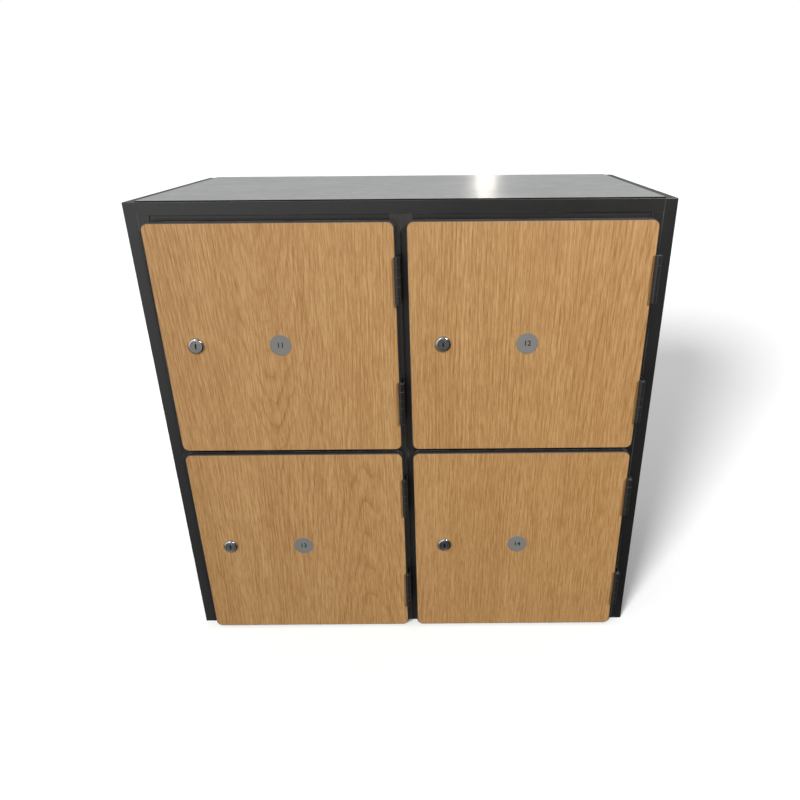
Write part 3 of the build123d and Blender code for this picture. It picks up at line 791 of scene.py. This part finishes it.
def add_barrel(tag):
    """The lock's turned bezel, domed and ringed, and the barrel behind it."""
    low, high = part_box(f"lock_barrel_{tag}")
    bezel_r = (high.x - low.x) / 2
    bezel_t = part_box(f"door_{tag}")[0].y - low.y
    length = high.y - low.y
    crown_r = bezel_r - bezel_t * BEZEL_CROWN
    foot = -bezel_t * BEZEL_RIM
    swell = [TURN / 4 * step / 7 for step in range(8)]
    dome = [
        (crown_r + (bezel_r - crown_r) * math.cos(t), foot * (1 - math.sin(t))) for t in swell
    ]
    groove = [
        (BARREL_BORE + 1.15 * MM, 0),
        (BARREL_BORE + 0.95 * MM, -GROOVE_DEPTH),
        (BARREL_BORE + 0.62 * MM, -GROOVE_DEPTH),
    ]
    lip = [
        (BARREL_BORE + 0.45 * MM, 0),
        (BARREL_BORE + 0.12 * MM, 0),
        (BARREL_BORE, -BORE_CHAMFER),
    ]
    back = [(BARREL_BORE, -length), (BARREL_R, -length), (BARREL_R, -bezel_t)]
    profile = [(bezel_r, -bezel_t)] + dome + groove + lip + back
    centre = Vector(((low.x + high.x) / 2, low.y, (low.z + high.z) / 2))
    shape = bmesh.new()
    lathe(shape, profile, facing((0, -1, 0), centre), 64)
    piece = mesh_piece(shape, f"lock_bezel_{tag}", sharp=50)
    body = f"door_unit_{tag}"
    finish_piece(piece, FINISH["chrome"], body, [f"lock_barrel_{tag}"])


def top_outline(low, high):
    """The top sheet cut from front to back: (y, drop below its top) points."""
    fold_y = high.y - TOP_FOLD
    stride = (fold_y - low.y) / TOP_STEPS_BACK
    upper = [(low.y + stride * step, 0.0) for step in range(TOP_STEPS_BACK + 1)]
    arc = [(math.sin(t), math.cos(t)) for t in (0.4, 0.8, 1.2, TURN / 4)]
    bend = [(fold_y + TOP_FOLD * a, TOP_FOLD * (b - 1)) for a, b in arc]
    turned = [(high.y, low.z - high.z), (high.y - SHEET, low.z - high.z)]
    under = [(high.y - SHEET, -TOP_FOLD), (fold_y, -SHEET), (low.y, -SHEET)]
    return upper + bend + turned + under


def top_dip(across, behind):
    """How far the sheet hangs at a share of its width and of its depth: none at its edges."""
    calm = math.sin(math.pi * across) * math.sin(math.pi * behind)
    wave = 0.5 + 0.3 * math.sin(9.1 * across + 2.2 * behind)
    wave += 0.2 * math.sin(17.0 * across - 5.0 * behind + 1.0)
    return TOP_WAVE * calm * wave


def add_top_sheet():
    """The top sheet, its upper face very slightly wavy, folded down behind."""
    low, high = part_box("top_panel")
    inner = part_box("top_rail")[1].x
    outline = top_outline(low, high)
    shape = bmesh.new()
    slices = []
    for step in range(TOP_STEPS_ALONG + 1):
        across = step / TOP_STEPS_ALONG
        x = low.x + (high.x - low.x) * across
        ring = []
        for y, drop in outline:
            dip = top_dip(across, (y - low.y) / (high.y - low.y)) if drop == 0 else 0.0
            side = max(-inner, min(inner, x)) if drop < -SHEET - TOUCH else x
            ring.append(shape.verts.new((side, y, high.z + drop - dip)))
        slices.append(ring)
    count = len(outline)
    for first, second in zip(slices, slices[1:]):
        for step in range(count):
            after = (step + 1) % count
            shape.faces.new((first[step], first[after], second[after], second[step]))
    for end in (slices[0], slices[-1]):
        bmesh.ops.triangulate(shape, faces=[shape.faces.new(end)])
    piece = mesh_piece(shape, "top_sheet", sharp=40)
    finish_piece(piece, FINISH["top"], "carcass", ["top_panel"])


def add_digits(tag):
    """The door's number, standing a hair proud of its disc."""
    low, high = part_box(f"number_disc_{tag}")
    curve = bpy.data.curves.new(f"digits_{tag}", "FONT")
    curve.body = tag
    curve.size = DIGIT_SIZE
    curve.extrude = DIGIT_RELIEF
    curve.offset = DIGIT_STROKE
    curve.align_x = "CENTER"
    curve.align_y = "CENTER"
    drawn = place_in_scene(curve, f"drawn_{tag}")
    bpy.context.view_layer.update()
    graph = bpy.context.evaluated_depsgraph_get()
    mesh = bpy.data.meshes.new_from_object(drawn.evaluated_get(graph))
    bpy.data.objects.remove(drawn)
    mesh.transform(FACING_FRONT)
    middle = Vector(((low.x + high.x) / 2, low.y, (low.z + high.z) / 2))
    mesh.transform(Matrix.Translation(middle))
    piece = place_in_scene(mesh, f"number_digits_{tag}")
    finish_piece(piece, FINISH["ink"], f"door_unit_{tag}")


add_top_sheet()
add_pins()
add_screws("carcass_screws", "carcass")
soften("hinge_frame_leaves", HINGE_ROUND, FINISH["hinge"], "carcass")
for tag in TAGS:
    add_digits(tag)
    add_barrel(tag)
    body = f"door_unit_{tag}"
    add_screws(f"fixings_{tag}", body)
    soften(f"hinge_leaves_{tag}", HINGE_ROUND, FINISH["hinge"], body)
    soften(f"coin_case_{tag}", CASE_ROUND, FINISH["case"], body)

# ---------------------------------------------------------------- studio

bpy.context.scene.view_settings.view_transform = "Standard"
add_camera()
add_sky(**SKY_LEVELS, **SKY_SHARES)
floor = add_floor(floor_material())
add_floor_sun(floor)
light_floor(add_panel_light("key", **KEY), floor, included=False)
light_floor(add_panel_light("left_lamp", **LEFT_LAMP), floor, included=False)
add_panel_light("rear_glow", **REAR_GLOW)
